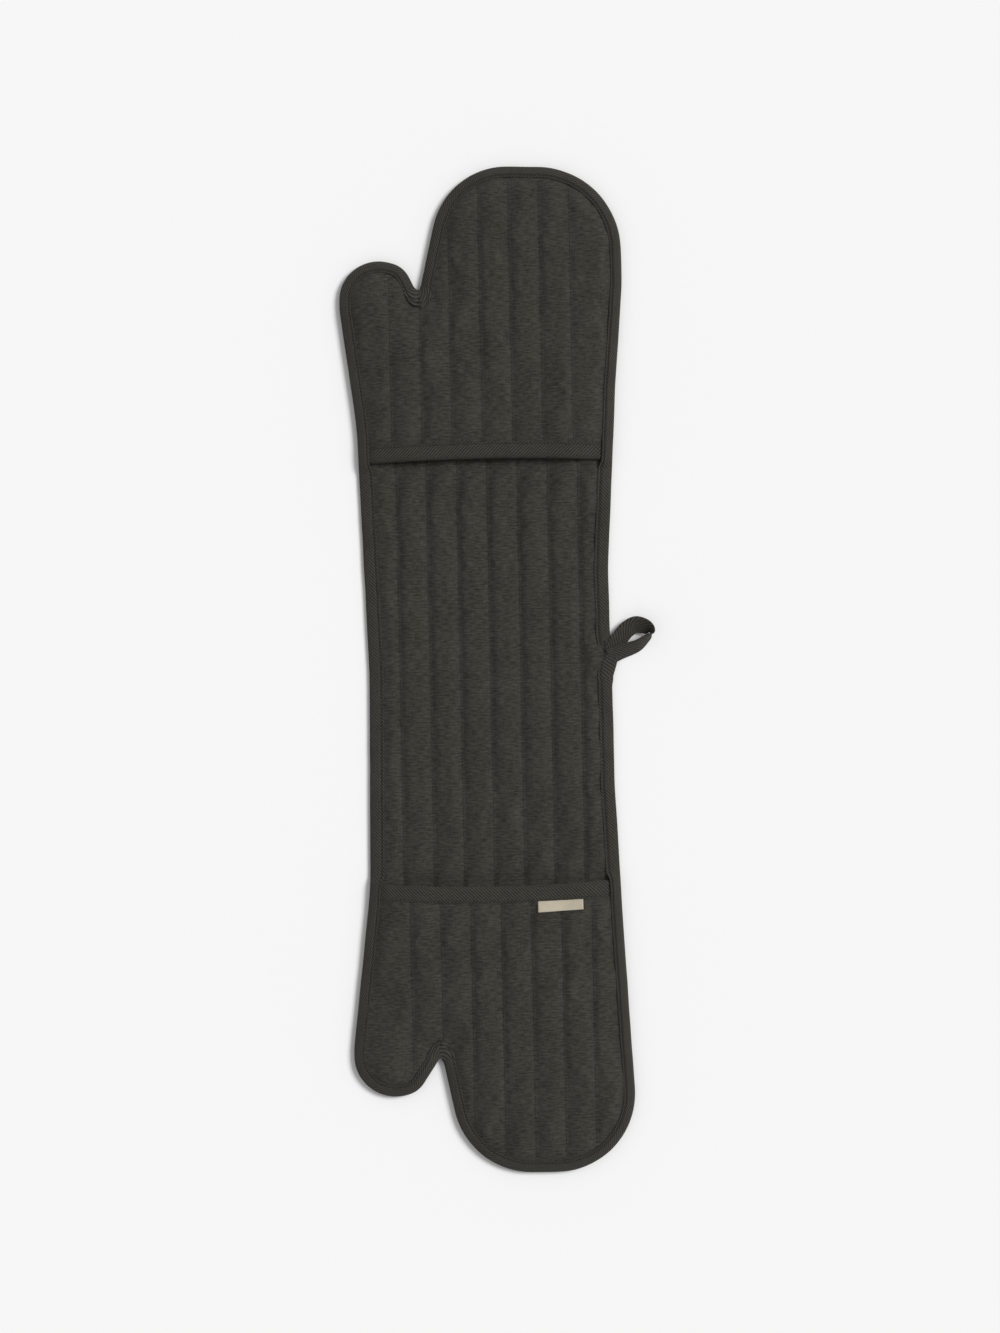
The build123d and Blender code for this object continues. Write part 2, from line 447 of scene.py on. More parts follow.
def merge_to_quads(piece: bpy.types.Object) -> None:
    """Join pairs of triangles into quads, so that subdivision is even."""
    work = bmesh.new()
    work.from_mesh(piece.data)
    bmesh.ops.join_triangles(
        work, faces=work.faces[:], angle_face_threshold=math.radians(40), angle_shape_threshold=math.radians(40)
    )
    work.to_mesh(piece.data)
    work.free()


def surface_tree(piece: bpy.types.Object) -> BVHTree:
    """Ray-casting tree of a piece."""
    mesh = piece.data
    return BVHTree.FromPolygons([v.co for v in mesh.vertices], [p.vertices[:] for p in mesh.polygons])


def height_on(tree: BVHTree, x: float, y: float, from_above: bool) -> float | None:
    """Height of a surface over a place on the floor.

    Args:
        tree: The surface's tree.
        x: Place along X, in metres.
        y: Place along Y, in metres.
        from_above: Whether the upper side is wanted.

    Returns:
        The height, or None where there is no surface.
    """
    start = Vector((x, y, 0.2 if from_above else -0.2))
    hit = tree.ray_cast(start, Vector((0, 0, -1 if from_above else 1)))[0]
    return None if hit is None else hit.z


def sweep(sections: np.ndarray, closed_path: bool) -> list:
    """Faces of a tube made of closed cross-sections.

    Args:
        sections: Array of stations by section points by 3.
        closed_path: Whether the last station joins the first.

    Returns:
        Quads, and end caps where the path is open.
    """
    stations, around = sections.shape[:2]
    runs = stations if closed_path else stations - 1
    faces = []
    for station in range(runs):
        here = station * around
        ahead = ((station + 1) % stations) * around
        for index in range(around):
            beside = (index + 1) % around
            faces.append((here + index, here + beside, ahead + beside, ahead + index))
    if not closed_path:
        faces.append(tuple(reversed(range(around))))
        faces.append(tuple((stations - 1) * around + index for index in range(around)))
    return faces


# ---------------------------------------------------------------- ends and outline


@dataclass(frozen=True)
class End:
    """One end of the mitt: its bodies and where its pocket opens."""

    name: str
    toward_tip: int
    row_centre: float
    mouth_bow: float

    @property
    def half(self) -> str:
        """Body of this half of the strap."""
        return f"{self.name}_half"

    @property
    def pocket(self) -> str:
        """Body of this end's pocket."""
        return f"{self.name}_pocket"

    def mouth_y(self) -> float:
        """Line of the pocket's open edge, from the solid mouth binding."""
        low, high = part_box(f"{self.name}_mouth_binding")
        return low[1] if self.toward_tip > 0 else high[1]

    def mouth_at(self, x: np.ndarray) -> np.ndarray:
        """Open edge's place along Y, bowed a little towards the fingertips.

        Args:
            x: Places across the mitt.

        Returns:
            The edge's y at each of them.
        """
        across = (x + 5 * MM) / (95 * MM)
        bow = self.mouth_bow * (1 - across**2) - 0.5 * self.mouth_bow
        return self.mouth_y() + self.toward_tip * bow


UPPER = End("upper", 1, -7.5 * MM, 2.6 * MM)
LOWER = End("lower", -1, -0.3 * MM, 3.6 * MM)


class MittOutline:
    """Plan outline of the whole mitt, read from the solid edge binding."""

    deepest_mitre: float = 1.85
    notch_depth: float = 2.8 * MM
    notch_reach: float = 1.5 * MM
    loop_pull: float = 5.6 * MM

    def __init__(self, spacing: float = 1.0 * MM) -> None:
        """Read both halves and join them into one even loop.

        Args:
            spacing: Distance between the loop's points, in metres.
        """
        upper = self._half_path("edge_binding_upper", True)
        lower = self._half_path("edge_binding_lower", False)
        loop = np.vstack([upper, lower])
        self.points = self._even(loop, spacing)
        self.inward = self._inward(self.points)
        for corner in self.crotches():
            reach = np.arange(corner - 8, corner + 9) % len(self.points)
            gap = np.linalg.norm(self.points[reach] - self.points[corner], axis=1)
            self.points[reach] += self.notch_depth * self.inward[corner] * np.exp(-gap / self.notch_reach)[:, None]
        self.inward = self._inward(self.points)
        self.pull = self._pull(self.points)
        self.points[:, 0] += self.pull
        steps = np.linalg.norm(np.roll(self.points, -1, axis=0) - self.points, axis=1)
        self.along = np.concatenate([[0], np.cumsum(steps)[:-1]])
        self.length = float(steps.sum())
        self.tree = KDTree(len(self.points))
        for index, point in enumerate(self.points):
            self.tree.insert((point[0], point[1], 0), index)
        self.tree.balance()

    @staticmethod
    def _inward(points: np.ndarray) -> np.ndarray:
        """Directions into the cloth, square to the loop.

        Args:
            points: Outline points, anticlockwise.

        Returns:
            One direction for each point.
        """
        ahead = np.roll(points, -3, axis=0) - np.roll(points, 3, axis=0)
        ahead /= np.linalg.norm(ahead, axis=1)[:, None]
        return np.stack([-ahead[:, 1], ahead[:, 0]], axis=1)

    def crotches(self) -> list[int]:
        """Stations of the two sharp corners between thumb and hand."""
        turn = np.roll(self.inward, -3, axis=0) - np.roll(self.inward, 3, axis=0)
        ahead = np.roll(self.points, -1, axis=0) - self.points
        curl = np.sum(turn * ahead, axis=1)
        return [int(np.argmax(np.where(self.points[:, 1] * side > 0, curl, -1))) for side in (1, -1)]

    def _pull(self, points: np.ndarray) -> np.ndarray:
        """How far the hanging loop pulls the edge outwards.

        Args:
            points: Outline points.

        Returns:
            Shift along X of each point.
        """
        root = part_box("hanging_loop")[0]
        rise = smooth_step((root[1] + 20 * MM - points[:, 1]) / (7 * MM))
        fall = smooth_step((points[:, 1] - root[1] + 22 * MM) / (26 * MM))
        return self.loop_pull * rise * fall * (points[:, 0] > 0)

    @staticmethod
    def _half_path(node: str, upward: bool) -> np.ndarray:
        """Outer edge of one half, anticlockwise from fold to fold.

        Args:
            node: Name of the solid binding.
            upward: Whether the half points along +Y.

        Returns:
            Points in order, without the fold's cut.
        """
        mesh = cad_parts[node].data
        flat = [p for p in mesh.polygons if all(mesh.vertices[i].co.z < 1e-6 for i in p.vertices)]
        key = {}
        for polygon in flat:
            for index in polygon.vertices:
                key[index] = tuple(round(value, 6) for value in mesh.vertices[index].co[:2])
        counts: dict = {}
        for polygon in flat:
            ring = polygon.vertices[:]
            for first, second in zip(ring, ring[1:] + ring[:1]):
                edge = (key[first], key[second])
                counts[edge] = counts.get(edge, 0) + 1
        ahead = {first: second for (first, second) in counts if (second, first) not in counts}
        leftmost = min(ahead, key=lambda point: point[0])
        loop = [leftmost]
        while ahead[loop[-1]] != leftmost:
            loop.append(ahead[loop[-1]])
        path = np.array(loop)
        area = np.sum(path[:, 0] * np.roll(path[:, 1], -1) - np.roll(path[:, 0], -1) * path[:, 1])
        if area < 0:
            path = path[::-1]
        fold = path[:, 1].min() if upward else path[:, 1].max()
        on_fold = np.abs(path[:, 1] - fold) < 2e-6
        start_x = path[on_fold][:, 0].max() if upward else path[on_fold][:, 0].min()
        end_x = path[on_fold][:, 0].min() if upward else path[on_fold][:, 0].max()
        start = int(np.argmin(np.abs(path[:, 0] - start_x) + 10 * np.abs(path[:, 1] - fold)))
        path = np.roll(path, -start, axis=0)
        end = int(np.argmin(np.abs(path[:, 0] - end_x) + 10 * np.abs(path[:, 1] - fold)))
        return path[: end + 1]

    @staticmethod
    def _even(loop: np.ndarray, spacing: float) -> np.ndarray:
        """Space a closed loop's points evenly and ease its corners.

        Args:
            loop: Points in order.
            spacing: Wanted distance between points.

        Returns:
            The new points.
        """
        closed = np.vstack([loop, loop[:1]])
        steps = np.linalg.norm(np.diff(closed, axis=0), axis=1)
        along = np.concatenate([[0], np.cumsum(steps)])
        count = int(round(along[-1] / spacing))
        wanted = np.linspace(0, along[-1], count, endpoint=False)
        even = np.stack([np.interp(wanted, along, closed[:, axis]) for axis in (0, 1)], axis=1)
        for _ in range(2):
            even = 0.25 * np.roll(even, 1, axis=0) + 0.5 * even + 0.25 * np.roll(even, -1, axis=0)
        return even

    def inset(self, depth: float) -> np.ndarray:
        """Loop moved inwards by a depth."""
        return self.points + self.inward * depth

    def contains(self, places: np.ndarray) -> np.ndarray:
        """Whether each place on the floor lies inside the outline.

        Args:
            places: Rows of x and y.

        Returns:
            One truth value for each.
        """
        x, y = places[:, 0][:, None], places[:, 1][:, None]
        first, second = self.points, np.roll(self.points, -1, axis=0)
        crosses = (first[:, 1] > y) != (second[:, 1] > y)
        rise = np.where(second[:, 1] == first[:, 1], 1e-12, second[:, 1] - first[:, 1])
        at = first[:, 0] + (y - first[:, 1]) * (second[:, 0] - first[:, 0]) / rise
        return (np.sum(crosses & (x < at), axis=1) % 2) == 1

    def depth(self, places: np.ndarray) -> np.ndarray:
        """Distance of each place from the outline.

        Args:
            places: Rows with x and y first.

        Returns:
            Distances in metres.
        """
        return np.array([self.tree.find((place[0], place[1], 0))[2] for place in places])

    def mitre(self) -> np.ndarray:
        """How many times deeper a tape reaches in at each station, where it is mitred between thumb and hand."""
        stretch = np.ones(len(self.points))
        reach = int(9 * MM / (self.length / len(stretch)))
        for corner in self.crotches():
            window = np.arange(corner - reach, corner + reach + 1) % len(stretch)
            before, after = self.inward[window[0]], self.inward[window[-1]]
            facing = np.maximum(self.inward[window] @ before, self.inward[window] @ after)
            share = np.clip(1 / np.maximum(facing, 0.2), 1, self.deepest_mitre)
            stretch[window] = np.convolve(np.pad(share, 2, "edge"), (0.1, 0.2, 0.4, 0.2, 0.1), "valid")
        return stretch

    def grip_depth(self, places: np.ndarray) -> np.ndarray:
        """Distance of each place from the outline, counted smaller where the mitred tape reaches further in.

        Args:
            places: Rows with x and y first.

        Returns:
            Distances in metres.
        """
        found = [self.tree.find((place[0], place[1], 0)) for place in places]
        depth = np.array([hit[2] for hit in found])
        extra = self.mitre()[[hit[1] for hit in found]] - 1
        return depth / (1 + extra * smooth_step((34 * MM - depth) / (14 * MM)))


# ---------------------------------------------------------------- quilted pads


@dataclass
class Quilting:
    """Rows of stitches that run along the mitt."""

    centre: float
    pitch: float = 23.4 * MM
    rows: int = 7
    stitch_pitch: float = 3.3 * MM
    stitch_length: float = 2.5 * MM
    thread_radius: float = 0.36 * MM

    def lines(self) -> np.ndarray:
        """Where the rows lie across the mitt."""
        return self.centre + (np.arange(self.rows) - (self.rows - 1) / 2) * self.pitch

    def from_row(self, x: np.ndarray) -> np.ndarray:
        """Distance from the nearest row."""
        return np.min(np.abs(x[:, None] - self.lines()[None, :]), axis=1)

    def puff(self, x: np.ndarray) -> np.ndarray:
        """How full the wadding is at each place: 0 in a row and 1 midway between two rows."""
        share = np.clip(self.from_row(x) / (self.pitch / 2), 0, 1)
        return np.power(1 - (1 - share) ** 2.2, 0.62)


def pad_net(boundary: np.ndarray, keep: np.ndarray) -> tuple[np.ndarray, list]:
    """Even net of triangles over a pad, with a line of vertices along each quilting row.

    Args:
        boundary: Closed loop round the pad, as rows of x and y.
        keep: Grid places inside the pad, clear of its boundary.

    Returns:
        The net's points, and its triangles.
    """
    count = len(boundary)
    points = np.vstack([boundary, keep])
    edges = [(index, (index + 1) % count) for index in range(count)]
    result = delaunay_2d_cdt([Vector(point) for point in points], edges, [list(range(count))], 1, 1e-7)
    net = np.array([tuple(point) for point in result[0]])
    faces = [face for face in result[2] if len(face) == 3]
    return net, faces


@dataclass
class QuiltedPad:
    """Two cloth plies with wadding between them, quilted in rows and blown up as cloth."""

    name: str
    outline: MittOutline
    quilting: Quilting
    rim_inset: float = 3.0 * MM
    net_step: float = 3.9 * MM
    ply: float = 0.45 * MM
    pressure: float = 4.0
    growth: float = 0.035
    cap: float = 1.5 * MM
    sink: float = 0.8 * MM
    frames: int = 16
    fine_wrinkle: float = 0.30 * MM
    wide_wrinkle: float = 0.18 * MM
    slack_wave: float = 0.22 * MM
    seed: float = 0.0
    gripped: float = 11.5 * MM
    rise_from: float = 8.5 * MM
    rise_reach: float = 11 * MM
    top: np.ndarray = field(default=None, repr=False)
    bottom: np.ndarray = field(default=None, repr=False)
    net: np.ndarray = field(default=None, repr=False)
    faces: list = field(default=None, repr=False)

    def boundary(self) -> np.ndarray:
        """Closed loop round the pad, as rows of x and y."""
        raise NotImplementedError

    def heights(self, net: np.ndarray) -> tuple[np.ndarray, np.ndarray]:
        """Heights of the lower and upper side before it is blown up.

        Args:
            net: Rows of x and y.

        Returns:
            Lower heights and upper heights, in metres.
        """
        raise NotImplementedError

    def lay_net(self) -> None:
        """Lay the net over the pad's plan."""
        edge = self.boundary()
        low, high = edge.min(axis=0), edge.max(axis=0)
        columns = np.arange(-26, 27) * (self.quilting.pitch / 6) + self.quilting.centre
        rows = np.arange(low[1], high[1], self.net_step)
        grid = np.array([(x, y) for y in rows for x in columns if low[0] < x < high[0]])
        grid = grid[self.outline.contains(grid)]
        rim = KDTree(len(edge))
        for index, point in enumerate(edge):
            rim.insert((point[0], point[1], 0), index)
        rim.balance()
        inside = self.outline.depth(grid) > self.rim_inset
        clear = np.array([rim.find((x, y, 0))[2] > 0.55 * self.net_step for x, y in grid])
        self.net, self.faces = pad_net(edge, grid[inside & clear & self.wanted(grid)])

    def wanted(self, grid: np.ndarray) -> np.ndarray:
        """Which grid places belong to this pad."""
        return np.ones(len(grid), bool)

    def under_tape(self, net: np.ndarray) -> np.ndarray:
        """Which places are gripped by a binding tape."""
        return self.outline.grip_depth(net) < self.gripped

    def rise(self, net: np.ndarray) -> np.ndarray:
        """How far the pad has filled out, from 0 beside the tape to 1 further in."""
        return smooth_step((self.outline.grip_depth(net) - self.rise_from) / self.rise_reach)

    def shell(self) -> tuple[list, set]:
        """Close the two sides of the net along its rim.

        Returns:
            Faces of the closed pad, and the vertices of the rim.
        """
        runs: dict = {}
        for face in self.faces:
            for first, second in zip(face, face[1:] + face[:1]):
                runs.setdefault((min(first, second), max(first, second)), []).append((first, second))
        sides = [found[0] for found in runs.values() if len(found) == 1]
        count = len(self.net)
        faces = list(self.faces)
        faces += [tuple(count + index for index in reversed(face)) for face in self.faces]
        faces += [(second, first, count + first, count + second) for first, second in sides]
        return faces, {index for side in sides for index in side}

    def blow_up(self) -> None:
        """Fill the pad: its rows and rim stay sewn while pressure rounds the cloth between them."""
        low, high = self.heights(self.net)
        count = len(self.net)
        places = np.vstack([np.column_stack([self.net, high]), np.column_stack([self.net, low])])
        moved = self._simulate(places, count)
        shift = moved - places
        size = np.linalg.norm(shift, axis=1)
        shift *= np.minimum(1, self.cap / np.maximum(size, 1e-9))[:, None]
        places = places + shift
        places[:, 2] = np.maximum(places[:, 2], 0.15 * MM)
        self.top, self.bottom = places[:count], places[count:]

    def _simulate(self, places: np.ndarray, count: int) -> np.ndarray:
        """Run the cloth.

        Args:
            places: Both sides' vertices.
            count: Number of vertices of one side.

        Returns:
            The vertices after the run.
        """
        shell, rim = self.shell()
        pad = make_piece(f"{self.name}_filling", places, shell, Finish.WADDING)
        sewn = (self.quilting.from_row(self.net[:, 0]) < 0.3 * MM) | self.under_tape(self.net)
        held = [index for index in range(count) if sewn[index] or index in rim]
        group = pad.vertex_groups.new(name="sewn")
        group.add(held + [count + index for index in held], 1.0, "REPLACE")
        cloth = pad.modifiers.new("cloth", "CLOTH")
        cloth.settings.vertex_group_mass = "sewn"
        cloth.settings.quality = 4
        cloth.settings.mass = 0.25
        cloth.settings.tension_stiffness = 12
        cloth.settings.compression_stiffness = 12
        cloth.settings.bending_stiffness = 0.2
        cloth.settings.use_pressure = True
        cloth.settings.uniform_pressure_force = self.pressure
        cloth.settings.shrink_min = -self.growth
        cloth.settings.effector_weights.gravity = 0
        cloth.point_cache.frame_start = 1
        cloth.point_cache.frame_end = self.frames
        for step in range(1, self.frames + 1):
            bpy.context.scene.frame_set(step)
        graph = bpy.context.evaluated_depsgraph_get()
        moved = np.empty(len(places) * 3)
        pad.evaluated_get(graph).data.vertices.foreach_get("co", moved)
        mesh = pad.data
        bpy.data.objects.remove(pad)
        bpy.data.meshes.remove(mesh)
        bpy.context.scene.frame_set(1)
        return moved.reshape(-1, 3)

    def panel(self, name: str, upper: bool, finish: Finish) -> bpy.types.Object:
        """Make one of the two plies, with puckers beside its rows.

        Args:
            name: Name of the piece.
            upper: Whether it is the upper ply.
            finish: Its cloth.

        Returns:
            The new piece.
        """
        faces = self.faces if upper else [tuple(reversed(face)) for face in self.faces]
        piece = make_piece(name, self.top if upper else self.bottom, faces, finish)
        merge_to_quads(piece)
        refine(piece, 1)
        places = vertices_of(piece)
        self.pucker(places, 1 if upper else -1)
        places[:, 2] = np.maximum(places[:, 2], 0.12 * MM)
        move_vertices(piece, places)
        set_cloth(piece, places * np.array([1, 1, 0]))
        thicken(piece, self.ply)
        return piece

    def pucker(self, places: np.ndarray, side: int) -> None:
        """Wrinkle the cloth where the stitches gather it.

        Args:
            places: Vertices, changed in place.
            side: 1 on the upper ply and -1 on the lower one.
        """
        near = self.quilting.from_row(places[:, 0])
        deep = self.outline.depth(places)
        gather = np.exp(-near / (3.6 * MM)) * smooth_step((deep - 9 * MM) / (6 * MM))
        fine = clouds(places, (9 * MM, 2.7 * MM, 1.0), self.seed + 3.1)
        wide = clouds(places, (14 * MM, 6.5 * MM, 1.0), self.seed + 9.7)
        slack = clouds(places, (26 * MM, 42 * MM, 1.0), self.seed + 17.3)
        inner = smooth_step((deep - 10 * MM) / (12 * MM))
        wrinkles = self.fine_wrinkle * fine * gather + self.wide_wrinkle * wide * (0.3 + gather) * inner
        places[:, 2] += side * wrinkles
        sink = self.sink if side > 0 else 0.4 * self.sink
        places[:, 2] += side * (self.slack_wave * slack * inner - sink * np.exp(-((near / (1.5 * MM)) ** 2)) * inner)
        places[:, 0] += self.fine_wrinkle * clouds(places, (1.0, 16 * MM, 1.0), self.seed + 5.5) * gather

    def declare_ply(self, piece: bpy.types.Object) -> None:
        """Read the pad's boundary loop; nothing is done with it."""
        loop = self.boundary()

    def wadding(self, name: str) -> bpy.types.Object:
        """Make the padding between the plies.

        Args:
            name: Name of the piece.

        Returns:
            The new piece.
        """
        middle = 0.5 * (self.top + self.bottom)
        middle[:, 2] -= 0.3 * MM * np.exp(-((self.quilting.from_row(self.net[:, 0]) / (2 * MM)) ** 2))
        half = np.maximum(0.31 * (self.top[:, 2] - self.bottom[:, 2]) - 0.65 * MM, 0.05 * MM)
        lift = np.column_stack([np.zeros((len(half), 2)), half])
        piece = make_piece(name, np.vstack([middle + lift, middle - lift]), self.shell()[0], Finish.WADDING)
        refine(piece, 1)
        return piece

    def row_stitches(
        self, name: str, surfaces: list[tuple[BVHTree, bool]], start: float, end: float
    ) -> bpy.types.Object:
        """Sew the rows: one thread bead for each stitch, on each side of the pad.

        Args:
            name: Name of the piece.
            surfaces: Each side's tree, and whether it is the upper side.
            start: Lowest y of the rows.
            end: Highest y of the rows.

        Returns:
            The new piece.
        """
        ends = []
        for tree, above in surfaces:
            sign = 1 if above else -1
            for line in self.quilting.lines():
                for centre in np.arange(start, end, self.quilting.stitch_pitch):
                    pair = []
                    for offset in (-0.5, 0.5):
                        y = centre + offset * self.quilting.stitch_length
                        z = height_on(tree, line, y, above)
                        pair.append(None if z is None else (line, y, z + sign * 0.06 * MM))
                    inside = self.outline.depth(np.array([[line, centre]]))[0] > 11 * MM
                    if inside and pair[0] and pair[1] and abs(pair[0][2] - pair[1][2]) < 1.5 * MM:
                        ends.append(pair)
        return stitch_beads(name, np.array(ends), self.quilting.thread_radius)


def stitch_beads(name: str, ends: np.ndarray, radius: float) -> bpy.types.Object:
    """Make thread beads, one for each stitch.

    Args:
        name: Name of the piece.
        ends: Array of stitches by 2 ends by 3.
        radius: Radius of the thread.

    Returns:
        The new piece.
    """
    rings = ((0.0, 0.35), (0.12, 0.85), (0.5, 1.0), (0.88, 0.85), (1.0, 0.35))
    sides = 6
    run = ends[:, 1] - ends[:, 0]
    length = np.linalg.norm(run, axis=1)[:, None]
    along = run / np.maximum(length, 1e-9)
    up = np.tile(np.array([0.0, 0.0, 1.0]), (len(ends), 1))
    across = np.cross(along, up)
    across /= np.maximum(np.linalg.norm(across, axis=1)[:, None], 1e-9)
    up = np.cross(across, along)
    rows = []
    for share, size in rings:
        for index in range(sides):
            angle = 2 * math.pi * index / sides
            offset = math.cos(angle) * across + math.sin(angle) * up
            dip = -0.5 * radius * (2 * share - 1) ** 2 * up
            rows.append(ends[:, 0] + share * run + radius * size * offset + dip)
    points = np.stack(rows, axis=1).reshape(-1, 3)
    pattern = []
    for ring in range(len(rings) - 1):
        for index in range(sides):
            beside = (index + 1) % sides
            low, high = ring * sides, (ring + 1) * sides
            pattern.append((low + index, low + beside, high + beside, high + index))
    pattern.append(tuple(reversed(range(sides))))
    pattern.append(tuple((len(rings) - 1) * sides + index for index in range(sides)))
    size = len(rings) * sides
    faces = [tuple(stitch * size + index for index in face) for stitch in range(len(ends)) for face in pattern]
    return make_piece(name, points, faces, Finish.THREAD)


@dataclass
class Strap(QuiltedPad):
    """The long body pad, from fingertips to fingertips."""

    rim_low: float = 1.2 * MM
    rim_high: float = 3.8 * MM
    channel_low: float = 1.0 * MM
    channel_high: float = 3.5 * MM
    puff_low: float = 0.3 * MM
    puff_high: float = 7.3 * MM
    pressed_high: float = 4.4 * MM
    bend_reach: float = 17 * MM
    creases: tuple = ((2.5 * MM, 0.35 * MM), (-8.0 * MM, 0.5 * MM), (-31 * MM, 0.22 * MM))

    def boundary(self) -> np.ndarray:
        """Outline moved in to where the pad's rim lies inside the tape."""
        return self.outline.inset(self.rim_inset)[::4]

    def pressed(self, net: np.ndarray) -> np.ndarray:
        """1 where a pocket lies on the strap and 0 between the pockets."""
        share = np.zeros(len(net))
        for end in (UPPER, LOWER):
            past = end.toward_tip * (net[:, 1] - end.mouth_at(net[:, 0]))
            share = np.maximum(share, smooth_step((past + 18 * MM) / (17 * MM)))
        return share

    def heights(self, net: np.ndarray) -> tuple[np.ndarray, np.ndarray]:
        """Heights of the lining and the face before the pad is blown up.

        Args:
            net: Rows of x and y.

        Returns:
            Lining heights and face heights.
        """
        rise = self.rise(net)
        puff = self.quilting.puff(net[:, 0])
        pressed = self.pressed(net)
        crown = self.puff_high + (self.pressed_high - self.puff_high) * pressed
        seam = self.channel_high - 0.5 * MM * pressed
        high = self.rim_high + rise * (seam + (crown - seam) * puff - self.rim_high)
        low = self.rim_low + rise * (self.channel_low + (self.puff_low - self.channel_low) * puff - self.rim_low)
        return low, high

    def pucker(self, places: np.ndarray, side: int) -> None:
        """Wrinkle the cloth, and press the storage creases across its middle.

        Args:
            places: Vertices, changed in place.
            side: 1 on the upper ply and -1 on the lower one.
        """
        super().pucker(places, side)
        inner = smooth_step((self.outline.depth(places) - 10 * MM) / (12 * MM))
        for line, depth in self.creases:
            wander = 1.6 * MM * clouds(places, (40 * MM, 1.0, 1.0), 21.0 + line / MM)
            crease = np.exp(-(((places[:, 1] - line - wander) / (1.7 * MM)) ** 2))
            places[:, 2] -= side * depth * crease * inner * (0.4 + 0.6 * self.quilting.puff(places[:, 0]))

    def build(self) -> list[bpy.types.Object]:
        """Sew the strap and return its pieces.

        Returns:
            The strap's pieces.
        """
        self.lay_net()
        self.blow_up()
        face = self.panel("strap_face", True, Finish.FACE)
        lining = self.panel("strap_lining", False, Finish.LINING)
        wadding = self.wadding("strap_wadding")
        tips = (self.boundary()[:, 1].min(), self.boundary()[:, 1].max())
        sides = [(surface_tree(face), True), (surface_tree(lining), False)]
        stitches = self.row_stitches("strap_quilting", sides, *tips)
        for piece, node, slot in (
            (face, "body_face", "face_cotton"),
            (lining, "body_lining", "lining_cotton"),
            (wadding, "body_wadding", "wadding"),
            (stitches, "body_quilting", "thread"),
        ):
            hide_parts(f"{node}_upper", f"{node}_lower")
            bend_at_fold(piece)
        self.declare_ply(face)
        self.declare_ply(lining)
        return [face, lining, wadding, stitches]


def bend_at_fold(piece: bpy.types.Object) -> None:
    """Bake a piece's placement into its mesh.

    Args:
        piece: The piece, its mesh finished.
    """
    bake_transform(piece)


